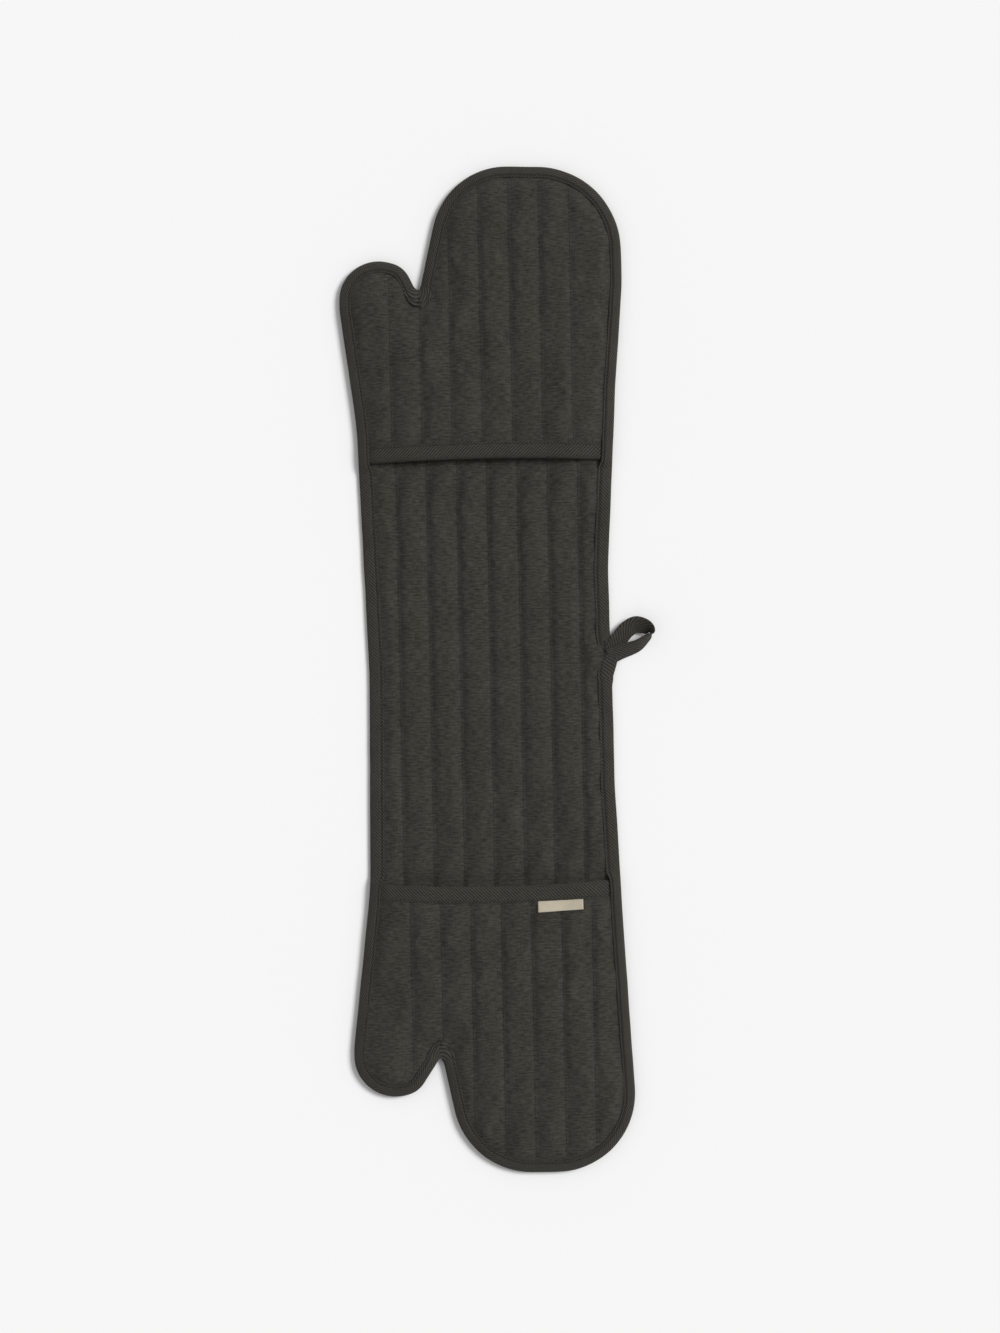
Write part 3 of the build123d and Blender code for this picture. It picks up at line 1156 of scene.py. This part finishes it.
@dataclass
class Pocket(QuiltedPad):
    """One thumbed pocket: a quilted pad sewn round its rim and open at the mouth."""

    end: End = UPPER
    gripped: float = 10 * MM
    rise_from: float = 6.5 * MM
    mouth_gripped: float = 13 * MM
    rim_low: float = 4.7 * MM
    rim_thick: float = 2.1 * MM
    channel_thick: float = 2.2 * MM
    puff_thick: float = 5.0 * MM
    lift: float = 1.3 * MM
    loft: float = 5.6 * MM
    loft_reach: float = 34 * MM
    sewn_reach: float = 26 * MM

    def boundary(self) -> np.ndarray:
        """Loop along the rim, closed by the bowed mouth edge."""
        inset = self.outline.inset(self.rim_inset)[::4]
        past = self.end.toward_tip * (inset[:, 1] - self.end.mouth_at(inset[:, 0])) > 1.5 * MM
        start = int(np.flatnonzero(past & ~np.roll(past, 1))[0])
        rim = np.roll(inset, -start, axis=0)[: int(past.sum())]
        count = int(abs(rim[-1][0] - rim[0][0]) / self.net_step)
        across = np.linspace(rim[-1][0], rim[0][0], count + 1)[1:-1]
        return np.vstack([rim, np.column_stack([across, self.end.mouth_at(across)])])

    def past_mouth(self, net: np.ndarray) -> np.ndarray:
        """Distance of each place from the open edge, towards the fingertips."""
        return self.end.toward_tip * (net[:, 1] - self.end.mouth_at(net[:, 0]))

    def wanted(self, grid: np.ndarray) -> np.ndarray:
        """Grid places on the pocket's side of its mouth."""
        return self.past_mouth(grid) > 0.55 * self.net_step

    def under_tape(self, net: np.ndarray) -> np.ndarray:
        """Which places are gripped by the edge tape or the mouth tape."""
        return super().under_tape(net) | (self.past_mouth(net) < self.mouth_gripped)

    def under(self, net: np.ndarray) -> np.ndarray:
        """Height of the pocket's underside, without its puffs."""
        share = np.clip(self.past_mouth(net) / (215 * MM), 0, 1)
        dome = smooth_step((self.outline.grip_depth(net) - 8 * MM) / self.loft_reach) * (1 - 0.6 * share)
        return self.rim_low + self.rise(net) * self.lift + dome * self.loft

    def heights(self, net: np.ndarray) -> tuple[np.ndarray, np.ndarray]:
        """Heights of the lining and the face before the pad is blown up.

        Args:
            net: Rows of x and y.

        Returns:
            Lining heights and face heights.
        """
        rise = self.rise(net) * smooth_step((self.past_mouth(net) - 8 * MM) / (16 * MM))
        puff = self.quilting.puff(net[:, 0])
        full = self.channel_thick + (self.puff_thick - self.channel_thick) * puff
        under = self.under(net)
        low = under + rise * 0.25 * MM * (1 - puff)
        return low, under + self.rim_thick + rise * (full - self.rim_thick)

    def build(self) -> list[bpy.types.Object]:
        """Sew the pocket and return its pieces.

        Returns:
            The pocket's pieces.
        """
        name = self.end.name
        self.lay_net()
        self.blow_up()
        face = self.panel(f"{name}_pocket_face_cloth", True, Finish.FACE)
        lining = self.panel(f"{name}_pocket_lining_cloth", False, Finish.LINING)
        wadding = self.wadding(f"{name}_pocket_padding")
        mouth = self.end.mouth_y()
        tip = self.boundary()[:, 1].max() if self.end.toward_tip > 0 else self.boundary()[:, 1].min()
        first = mouth + self.end.toward_tip * 15 * MM
        sides = [(surface_tree(face), True), (surface_tree(lining), False)]
        stitches = self.row_stitches(f"{name}_pocket_rows", sides, min(first, tip), max(first, tip))
        for piece, node, slot in (
            (face, "pocket_face", "face_cotton"),
            (lining, "pocket_lining", "lining_cotton"),
            (wadding, "pocket_wadding", "wadding"),
            (stitches, "pocket_quilting", "thread"),
        ):
            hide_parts(f"{name}_{node}")
            self.open_with_mouth(piece)
        self.declare_ply(face)
        self.declare_ply(lining)
        return [face, lining, wadding, stitches]

    def open_with_mouth(self, piece: bpy.types.Object) -> None:
        """Bake a piece's placement into its mesh, and find how far each vertex lies from the outline.

        Args:
            piece: The piece, its mesh finished.
        """
        mouth, tip = self.end.mouth_y(), self.outline.points[:, 1]
        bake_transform(piece)
        depth = self.outline.depth(vertices_of(piece))


# ---------------------------------------------------------------- tapes


def make_tape(
    name: str, places: np.ndarray, along: np.ndarray, across: np.ndarray, closed_path: bool
) -> bpy.types.Object:
    """Make a piece of tape from its cross-sections.

    Args:
        name: Name of the piece.
        places: Array of stations by section points by 3.
        along: Place of each station along the cut tape.
        across: Place of each section point across the cut tape.
        closed_path: Whether the last station joins the first.

    Returns:
        The new piece.
    """
    cloth = np.zeros_like(places)
    cloth[:, :, 0] = along[:, None]
    cloth[:, :, 1] = across[None, :]
    return make_piece(name, places.reshape(-1, 3), sweep(places, closed_path), Finish.TAPE, cloth.reshape(-1, 3))


def stitches_along(line: np.ndarray, first: float, margin: float, pitch: float, length: float) -> np.ndarray:
    """Space stitches along a line.

    Args:
        line: Points along it.
        first: Distance from its start to the first stitch.
        margin: Length left free at its end.
        pitch: Distance from stitch to stitch.
        length: Length of a stitch.

    Returns:
        Array of stitches by 2 ends by 3.
    """
    along = np.concatenate([[0], np.cumsum(np.linalg.norm(np.diff(line, axis=0), axis=1))])
    starts = np.arange(first, along[-1] - margin, pitch)
    ends = [
        np.stack([np.interp(starts + offset, along, line[:, axis]) for axis in range(3)], axis=1)
        for offset in (0.0, length)
    ]
    return np.stack(ends, axis=1)


@dataclass
class EdgeBinding:
    """Bias tape folded round the whole outline, and its topstitch."""

    outline: MittOutline
    strap: Strap
    width: float = 10.9 * MM
    pocket_share: float = 0.80
    tape: float = 0.9 * MM
    strap_edge: float = 4.7 * MM
    pocket_edge: float = 7.4 * MM
    strap_inner: float = 5.1 * MM
    pocket_inner: float = 8.5 * MM
    stitch_inset: float = 8.9 * MM
    stitch_pitch: float = 3.1 * MM
    stitch_length: float = 2.4 * MM
    thread_radius: float = 0.42 * MM

    def fullness(self) -> np.ndarray:
        """1 where the tape wraps a pocket, 0 on the strap alone, and more than 1 over a mouth tape's end."""
        share = np.zeros(len(self.outline.points))
        for end in (UPPER, LOWER):
            past = end.toward_tip * (self.outline.points[:, 1] - end.mouth_y())
            share = np.maximum(share, smooth_step((past + 10 * MM) / (8 * MM)))
            share += 0.2 * np.exp(-(((past - 5 * MM) / (8 * MM)) ** 2))
        return share

    def pleats(self) -> np.ndarray:
        """Depth of the folds tucked in where thumb and hand meet, at each station."""
        depth = np.zeros(len(self.outline.points))
        for corner in self.outline.crotches():
            for shift in (-2.4 * MM, 1.6 * MM):
                gap = self.outline.along - self.outline.along[corner] - shift
                depth += np.exp(-((gap / (0.9 * MM)) ** 2))
        return depth

    def spread(self) -> np.ndarray:
        """How far the tape reaches in at each station, as a share of its width on the strap.

        Thicker edges leave less of it to show, and it is mitred between thumb and hand.

        Returns:
            One factor for each station.
        """
        return (1 - (1 - self.pocket_share) * self.fullness()) * self.outline.mitre()

    def sections(self) -> tuple[np.ndarray, np.ndarray]:
        """Cross-section of the folded tape at each station.

        Returns:
            Places as stations by section points by 3, and their distance across the tape.
        """
        full = self.fullness()
        edge = self.strap_edge + (self.pocket_edge - self.strap_edge) * full
        spread = self.spread()
        inner = self.strap_inner + (self.pocket_inner - self.strap_inner) * full
        inner = inner + 3.0 * MM * np.maximum(spread - 1, 0)
        width, tape = self.width, self.tape
        zero, rim = np.zeros(len(full)), np.full(len(full), 1.0)
        shape = [
            (width, 0.9 * MM * rim),
            (width + 0.2 * MM, 0.45 * MM * rim),
            (width - 0.3 * MM, 0.12 * MM * rim),
            (self.stitch_inset, 0.3 * MM * rim),
            (self.stitch_inset - 1.2 * MM, 0.05 * MM * rim),
            (5.0 * MM, zero),
            (2.4 * MM, 0.1 * MM * rim),
            (1.0 * MM, 0.7 * MM * rim),
            (0.25 * MM, 0.27 * edge),
            (0.0, 0.52 * edge),
            (0.3 * MM, 0.78 * edge),
            (1.2 * MM, edge - 0.55 * MM),
            (2.8 * MM, edge + 0.12 * MM),
            (4.6 * MM, edge + 0.40 * (inner - edge) + 0.2 * MM),
            (6.6 * MM, edge + 0.68 * (inner - edge) + 0.3 * MM),
            (self.stitch_inset - 1.5 * MM, inner + 0.2 * MM),
            (self.stitch_inset - 0.6 * MM, inner - 0.45 * MM),
            (self.stitch_inset, inner - 0.95 * MM),
            (self.stitch_inset + 0.5 * MM, inner - 0.45 * MM),
            (width - 0.7 * MM, inner + 0.15 * MM),
            (width + 0.1 * MM, inner - 0.15 * MM),
            (width + 0.2 * MM, inner - 0.55 * MM),
            (width - 0.4 * MM, inner - tape),
            (6.0 * MM, edge + 0.6 * (inner - edge) - tape),
            (2.4 * MM, edge - tape),
            (tape + 0.2 * MM, 0.7 * edge),
            (tape, 0.5 * edge),
            (tape + 0.4 * MM, 0.3 * edge),
            (2.8 * MM, tape * rim),
            (7.0 * MM, tape * rim),
        ]
        insets = np.array([inset for inset, _ in shape])
        heights = np.stack([height for _, height in shape], axis=1)
        reach = 1 + (spread[:, None] - 1) * smooth_step(insets / (4 * MM))[None, :]
        shifts = (insets[None, :] * reach)[:, :, None]
        plan = self.outline.points[:, None, :] + self.outline.inward[:, None, :] * shifts
        steps = np.hypot(np.diff(insets, append=insets[:1]), np.diff(heights.mean(axis=0), append=heights[0, 0]))
        across = np.concatenate([[0], np.cumsum(steps)[:-1]])
        plan[:, :, 0] -= 0.85 * self.outline.pull[:, None] * smooth_step(insets / (9 * MM))[None, :]
        return np.dstack([plan, heights]), across

    def build(self) -> list[bpy.types.Object]:
        """Wrap and sew the tape.

        Returns:
            The binding and its topstitch.
        """
        places, across = self.sections()
        stations = len(places)
        upper_side = slice(11, 22)
        flat = np.column_stack([self.outline.points, np.zeros(stations)])
        ripple = clouds(flat, (9 * MM, 9 * MM, 1.0), 4.4)
        ripple_fine = clouds(flat, (3.4 * MM, 3.4 * MM, 1.0), 8.8)
        reach = np.linspace(0.4, 1.0, 11)[None, :]
        places[:, upper_side, 2] += (0.30 * MM * ripple + 0.16 * MM * ripple_fine)[:, None] * reach
        places[:, upper_side, 2] -= (0.9 * MM * self.pleats())[:, None] * np.linspace(0.5, 1.0, 11)[None, :]
        wave = 0.22 * MM * clouds(flat, (21 * MM, 21 * MM, 1.0), 2.2)
        places[:, :, :2] += (self.outline.inward * wave[:, None])[:, None, :]
        binding = make_tape("edge_binding_tape", places, self.outline.along, across, True)
        stitches = self.topstitch(places)
        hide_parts("edge_binding_upper", "edge_binding_lower")
        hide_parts("edge_topstitch_upper", "edge_topstitch_lower")
        for piece, slot in ((binding, "binding_tape"), (stitches, "thread")):
            bend_at_fold(piece)
        return [binding, stitches]

    def topstitch(self, places: np.ndarray) -> bpy.types.Object:
        """Sew along the tape's inner edge, through both of its sides.

        Args:
            places: The tape's cross-sections.

        Returns:
            The stitches.
        """
        ends = []
        for index, lift in ((17, 0.16 * MM), (3, -0.12 * MM)):
            line = places[:, index, :] + np.array([0, 0, lift])
            closed = np.vstack([line, line[:1]])
            ends.append(stitches_along(closed, 0, self.stitch_pitch, self.stitch_pitch, self.stitch_length))
        return stitch_beads("edge_topstitch_thread", np.vstack(ends), self.thread_radius)


@dataclass
class MouthBinding:
    """Bias tape folded round a pocket's open edge, and its topstitch."""

    pocket: Pocket
    tape: float = 0.8 * MM
    side_inset: float = 4.0 * MM
    step: float = 2.0 * MM
    stitch_pitch: float = 3.3 * MM
    stitch_length: float = 2.4 * MM
    thread_radius: float = 0.40 * MM

    def stations(self) -> np.ndarray:
        """Places across the mouth, from side to side under the edge binding."""
        y = self.pocket.end.mouth_y() + self.pocket.end.toward_tip * 6 * MM
        near = np.abs(self.pocket.outline.points[:, 1] - y) < 2 * MM
        sides = self.pocket.outline.points[near][:, 0]
        low, high = sides.min() + self.side_inset, sides.max() - self.side_inset
        return np.linspace(low, high, int((high - low) / self.step))

    def plies(self, x: np.ndarray, mouth: np.ndarray, past: float) -> tuple[np.ndarray, np.ndarray]:
        """Heights of the pocket's lining and face under the tape.

        Args:
            x: Places across the mouth.
            mouth: The open edge's y at each of them.
            past: Distance into the pocket, in millimetres.

        Returns:
            Lining heights and face heights.
        """
        net = np.column_stack([x, mouth + self.pocket.end.toward_tip * max(past, 2.0) * MM])
        return self.pocket.heights(net)

    def build(self) -> list[bpy.types.Object]:
        """Wrap and sew the tape.

        Returns:
            The binding and its topstitch.
        """
        end, pocket = self.pocket.end, self.pocket
        x = self.stations()
        mouth = end.mouth_at(x)
        tuck = 0.8 * MM * (1 - smooth_step((np.minimum(x - x[0], x[-1] - x) - 4 * MM) / (5 * MM)))
        line = np.column_stack([x, mouth, 0 * x])
        ripple = clouds(line, (8 * MM, 8 * MM, 1.0), 6.6 + end.toward_tip)
        fine = clouds(line, (3 * MM, 3 * MM, 1.0), 1.3 + end.toward_tip)
        shape = []
        for past in (0.0, 0.6, 2.0, 4.5, 7.0, 9.0, 10.4, 11.3, 11.9, 12.3, 12.45):
            low, high = self.plies(x, mouth, past)
            middle = 0.5 * (low + high)
            crown = high + self.tape + 0.12 * MM
            dip = 0.45 * MM * math.exp(-(((past - 11.3) / 0.5) ** 2))
            dip += 0.5 * MM * (past > 12.4) + 0.12 * MM * (past > 12.2)
            wrinkle = (0.28 * MM * ripple + 0.16 * MM * fine) * smooth_step(past / 9)
            z = middle + (crown - middle - tuck) * smooth_step(past / 2.2) - dip + wrinkle
            shape.append(np.column_stack([x, mouth + end.toward_tip * (past - 0.9) * MM, z]))
        for run, back, side, lift in (
            ((12.2, 9.0, 5.0, 1.4), 0.6, 1, 0.12 * MM - tuck),
            ((0.9, 5.0, 9.0, 12.0), 0.6, 0, -0.5 * MM),
            ((12.3, 9.0, 5.0, 1.0), 0.7, 0, -1.0 * MM),
        ):
            for past in run:
                z = self.plies(x, mouth, past)[side] + lift
                shape.append(np.column_stack([x, mouth + end.toward_tip * (past - back) * MM, z]))
        places = np.stack(shape, axis=1)
        if end.toward_tip < 0:
            places = places[::-1]
        steps = np.linalg.norm(np.diff(places, axis=1), axis=2).mean(axis=0)
        across = np.concatenate([[0], np.cumsum(steps)])
        binding = make_tape(f"{end.name}_mouth_tape", places, places[:, 0, 0], across, False)
        stitches = self.topstitch(places)
        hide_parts(f"{end.name}_mouth_binding")
        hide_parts(f"{end.name}_mouth_topstitch")
        for piece, slot in ((binding, "binding_tape"), (stitches, "thread")):
            pocket.open_with_mouth(piece)
        return [binding, stitches]

    def topstitch(self, places: np.ndarray) -> bpy.types.Object:
        """Sew across the mouth, in the dip near the tape's far edge.

        Args:
            places: The tape's cross-sections.

        Returns:
            The stitches.
        """
        line = places[:, 7, :] + np.array([0, 0, 0.14 * MM])
        ends = stitches_along(line, 5 * MM, 6 * MM, self.stitch_pitch, self.stitch_length)
        return stitch_beads(f"{self.pocket.end.name}_mouth_stitches", ends, self.thread_radius)


# ---------------------------------------------------------------- small parts


def bar_tack(
    name: str, node: str, reach: float, heights: tuple[float, float], pitch: float, radius: float
) -> bpy.types.Object:
    """Sew a short bar of slanted stitches where a solid tack stands.

    Args:
        name: Name of the piece.
        node: Name of the solid tack.
        reach: Half the length of a stitch.
        heights: Height of a stitch's two ends.
        pitch: Distance from stitch to stitch.
        radius: Radius of the thread.

    Returns:
        The new piece.
    """
    low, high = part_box(node)
    x = 0.5 * (low[0] + high[0])
    ends = [
        [(x - reach, y, heights[0]), (x + reach, y + 0.2 * MM, heights[1])] for y in np.arange(low[1], high[1], pitch)
    ]
    return stitch_beads(name, np.array(ends), radius)


@dataclass
class HangingLoop:
    """Loop of folded tape that stands out of the edge, one leg broad and one on its edge."""

    width: float = 13.4 * MM
    thickness: float = 1.5 * MM
    steps: int = 72

    def build(self) -> list[bpy.types.Object]:
        """Twist the tape into its loop.

        Returns:
            The loop.
        """
        low = np.array(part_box("hanging_loop")[0])
        stations = np.array(
            [
                (-3.0, 3.0, 4.2, 5),
                (1.6, 10.2, 4.3, 6),
                (6.8, 18.0, 4.4, 8),
                (12.2, 23.9, 4.6, 10),
                (18.2, 27.3, 5.2, 16),
                (24.0, 26.3, 6.6, 27),
                (28.4, 23.8, 7.8, 45),
                (30.6, 21.2, 8.2, 72),
                (29.4, 18.9, 7.4, 104),
                (25.4, 15.3, 6.0, 118),
                (20.0, 11.2, 5.2, 131),
                (14.2, 8.9, 4.8, 140),
                (7.6, 6.9, 4.6, 148),
                (1.5, 4.6, 4.4, 160),
                (-3.0, 2.6, 4.3, 168),
            ]
        )
        curve = self._smooth(stations, self.steps)
        centre = curve[:, :3] * MM + np.array([low[0], low[1], 0])
        tangent = np.gradient(centre, axis=0)
        tangent /= np.linalg.norm(tangent, axis=1)[:, None]
        outward = np.cross(np.tile([0.0, 0.0, 1.0], (len(tangent), 1)), tangent)
        outward /= np.linalg.norm(outward, axis=1)[:, None]
        lean = np.radians(curve[:, 3])[:, None]
        across = np.cos(lean) * outward + np.sin(lean) * np.array([0, 0, 1.0])
        normal = np.cross(tangent, across)
        half, thin = self.width / 2, self.thickness / 2
        above = ((-1.0, 0.0), (-0.97, 0.7), (-0.82, 1.0), (-0.70, 0.72), (-0.4, 1.0), (0.4, 1.0), (0.70, 0.95))
        below = ((0.97, 0.7), (1.0, 0.0), (0.97, -0.7), (0.8, -1.0), (0.3, -1.0), (-0.3, -1.0), (-0.70, -0.72))
        profile = (*above, *below, (-0.82, -1.0), (-0.97, -0.7))
        places = np.stack([centre + side * half * across + up * thin * normal for side, up in profile], axis=1)
        places[:, :, 2] = np.maximum(places[:, :, 2], 0.2 * MM)
        along = np.concatenate([[0], np.cumsum(np.linalg.norm(np.diff(centre, axis=0), axis=1))])
        spans = np.array([side * half + 3 * thin * up for side, up in profile])
        loop = make_tape("hanging_loop_tape", places, along, spans, False)
        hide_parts("hanging_loop")
        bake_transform(loop)
        return [loop, self.tack()]

    @staticmethod
    def _smooth(path: np.ndarray, steps: int) -> np.ndarray:
        """Pass a smooth line through given stations.

        Args:
            path: Stations, one row each.
            steps: Number of points wanted.

        Returns:
            The line's points.
        """
        padded = np.vstack([2 * path[0] - path[1], path, 2 * path[-1] - path[-2]])
        wanted = np.linspace(0, len(path) - 1 - 1e-9, steps)
        index = wanted.astype(int)
        share = (wanted - index)[:, None]
        before, here, ahead, after = (padded[index + offset] for offset in range(4))
        return 0.5 * (
            2 * here
            + (ahead - before) * share
            + (2 * before - 5 * here + 4 * ahead - after) * share**2
            + (3 * here - before - 3 * ahead + after) * share**3
        )

    @staticmethod
    def tack() -> bpy.types.Object:
        """Sew the bar that holds the loop's ends inside the edge."""
        tack = bar_tack("loop_tack_thread", "loop_tack", 0.9 * MM, (5.35 * MM, 5.3 * MM), 0.55 * MM, 0.24 * MM)
        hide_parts("loop_tack")
        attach(tack, UPPER.half)
        return tack


@dataclass
class Label:
    """Small blank ribbon label, its top edge caught under the lower mouth's topstitch."""

    pocket: Pocket
    thickness: float = 0.4 * MM

    def build(self) -> list[bpy.types.Object]:
        """Fold and lay the label on the pocket.

        Returns:
            The label.
        """
        low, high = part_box("label")
        columns, rows = 29, 11
        x = np.linspace(low[0], high[0], columns)
        share = (x - low[0]) / (high[0] - low[0])
        drop = 0.92 * (high[1] - low[1]) * (1 - 0.22 * share)
        top = high[1] + 0.8 * MM
        sheet = []
        for row in range(rows):
            y = top - (drop + 0.8 * MM) * row / (rows - 1)
            net = np.column_stack([x, y])
            face = self.pocket.heights(net)[1].max()
            curl = 0.9 * MM * (row / (rows - 1)) ** 2 * (0.5 + 0.5 * share) + 0.25 * MM * np.sin(share * 7.0)
            tuck = 0.55 * MM * float(smooth_step(row / 3))
            sheet.append(np.column_stack([x, y, face + 0.3 * MM + tuck + curl]))
        upper = np.array(sheet).reshape(-1, 3)
        faces = []
        for row in range(rows - 1):
            for column in range(columns - 1):
                corner = row * columns + column
                faces.append((corner, corner + columns, corner + columns + 1, corner + 1))
        label = make_piece("label_ribbon", upper, faces, Finish.LABEL)
        thicken(label, self.thickness)
        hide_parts("label")
        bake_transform(label)
        return [label]


@dataclass
class CrotchTack:
    """Short bar of stitches over the binding's pleat, between thumb and hand."""

    end: End
    height: float = 9.3 * MM

    def build(self) -> list[bpy.types.Object]:
        """Sew the bar.

        Returns:
            The tack.
        """
        name = f"{self.end.name}_crotch_tack"
        tack = bar_tack(f"{name}_thread", name, 0.5 * MM, (self.height, self.height), 0.6 * MM, 0.22 * MM)
        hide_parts(name)
        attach(tack, self.end.half)
        return [tack]


# ---------------------------------------------------------------- studio


@dataclass
class Studio:
    """Pale table, soft light from the right and a camera straight above."""

    view_width: float = 0.7762
    height: float = 2.6
    centre: tuple[float, float] = (2.4 * MM, 1.5 * MM)
    roll: float = math.radians(1.15)
    sensor: float = 36.0
    air: float = 0.46
    key_power: float = 2.34
    key_height: float = math.radians(50)
    key_bearing: float = math.radians(24)
    key_softness: float = math.radians(24)

    def build(self) -> None:
        """Set up the floor, the light and the camera."""
        self._floor()
        self._camera()
        self._key()
        world = bpy.data.worlds.new("studio_air")
        world.use_nodes = True
        air = world.node_tree.nodes["Background"]
        air.inputs[0].default_value = (1.0, 1.0, 1.0, 1)
        air.inputs[1].default_value = self.air
        bpy.context.scene.world = world
        bpy.context.scene.view_settings.view_transform = "Standard"

    @staticmethod
    def _floor() -> None:
        """Lay the table top."""
        size = 40.0
        mesh = bpy.data.meshes.new("table_top")
        mesh.from_pydata([(-size, -size, 0), (size, -size, 0), (size, size, 0), (-size, size, 0)], [], [(0, 1, 2, 3)])
        floor = bpy.data.objects.new("table_top", mesh)
        bpy.context.scene.collection.objects.link(floor)
        paint = bpy.data.materials.new("pale_table")
        paint.use_nodes = True
        shader = paint.node_tree.nodes["Principled BSDF"]
        shader.inputs["Base Color"].default_value = (0.9, 0.9, 0.9, 1)
        shader.inputs["Roughness"].default_value = 0.95
        shader.inputs["Specular IOR Level"].default_value = 0.0
        mesh.materials.append(paint)

    def _camera(self) -> None:
        """Hang the camera above the middle."""
        data = bpy.data.cameras.new("overhead_camera")
        data.sensor_fit = "HORIZONTAL"
        data.sensor_width = self.sensor
        data.lens = self.sensor * self.height / self.view_width
        data.clip_end = 20
        camera = bpy.data.objects.new("overhead_camera", data)
        camera.location = (*self.centre, self.height)
        camera.rotation_euler = (0, 0, -self.roll)
        bpy.context.scene.collection.objects.link(camera)
        bpy.context.scene.camera = camera

    def _key(self) -> None:
        """Hang the large, distant softbox on the right."""
        data = bpy.data.lights.new("key_softbox", "SUN")
        data.energy = self.key_power
        data.angle = self.key_softness
        lamp = bpy.data.objects.new("key_softbox", data)
        flat = math.cos(self.key_height)
        place = (flat * math.cos(self.key_bearing), flat * math.sin(self.key_bearing), math.sin(self.key_height))
        lamp.location = place
        lamp.rotation_euler = Vector(place).to_track_quat("Z", "Y").to_euler()
        bpy.context.scene.collection.objects.link(lamp)


# ---------------------------------------------------------------- assembly


def report(pieces: list[bpy.types.Object]) -> None:
    """Log each piece and the size of its mesh."""
    for piece in pieces:
        log.info("%s: %d vertices, %d faces", piece.name, len(piece.data.vertices), len(piece.data.polygons))


def main() -> None:
    """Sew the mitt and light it."""
    logging.basicConfig(level=logging.INFO, format="%(name)s %(message)s")
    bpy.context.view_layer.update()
    Studio().build()
    outline = MittOutline()
    strap = Strap("strap", outline, Quilting(-4.8 * MM), seed=1.0)
    report(strap.build())
    pockets = [
        Pocket(f"{end.name}_pocket", outline, Quilting(end.row_centre), seed=30.0 + end.toward_tip, end=end)
        for end in (UPPER, LOWER)
    ]
    for pocket in pockets:
        report(pocket.build())
        report(MouthBinding(pocket).build())
        report(CrotchTack(pocket.end).build())
    report(EdgeBinding(outline, strap).build())
    report(HangingLoop().build())
    report(Label(pockets[1]).build())


if __name__ == "__main__":
    main()
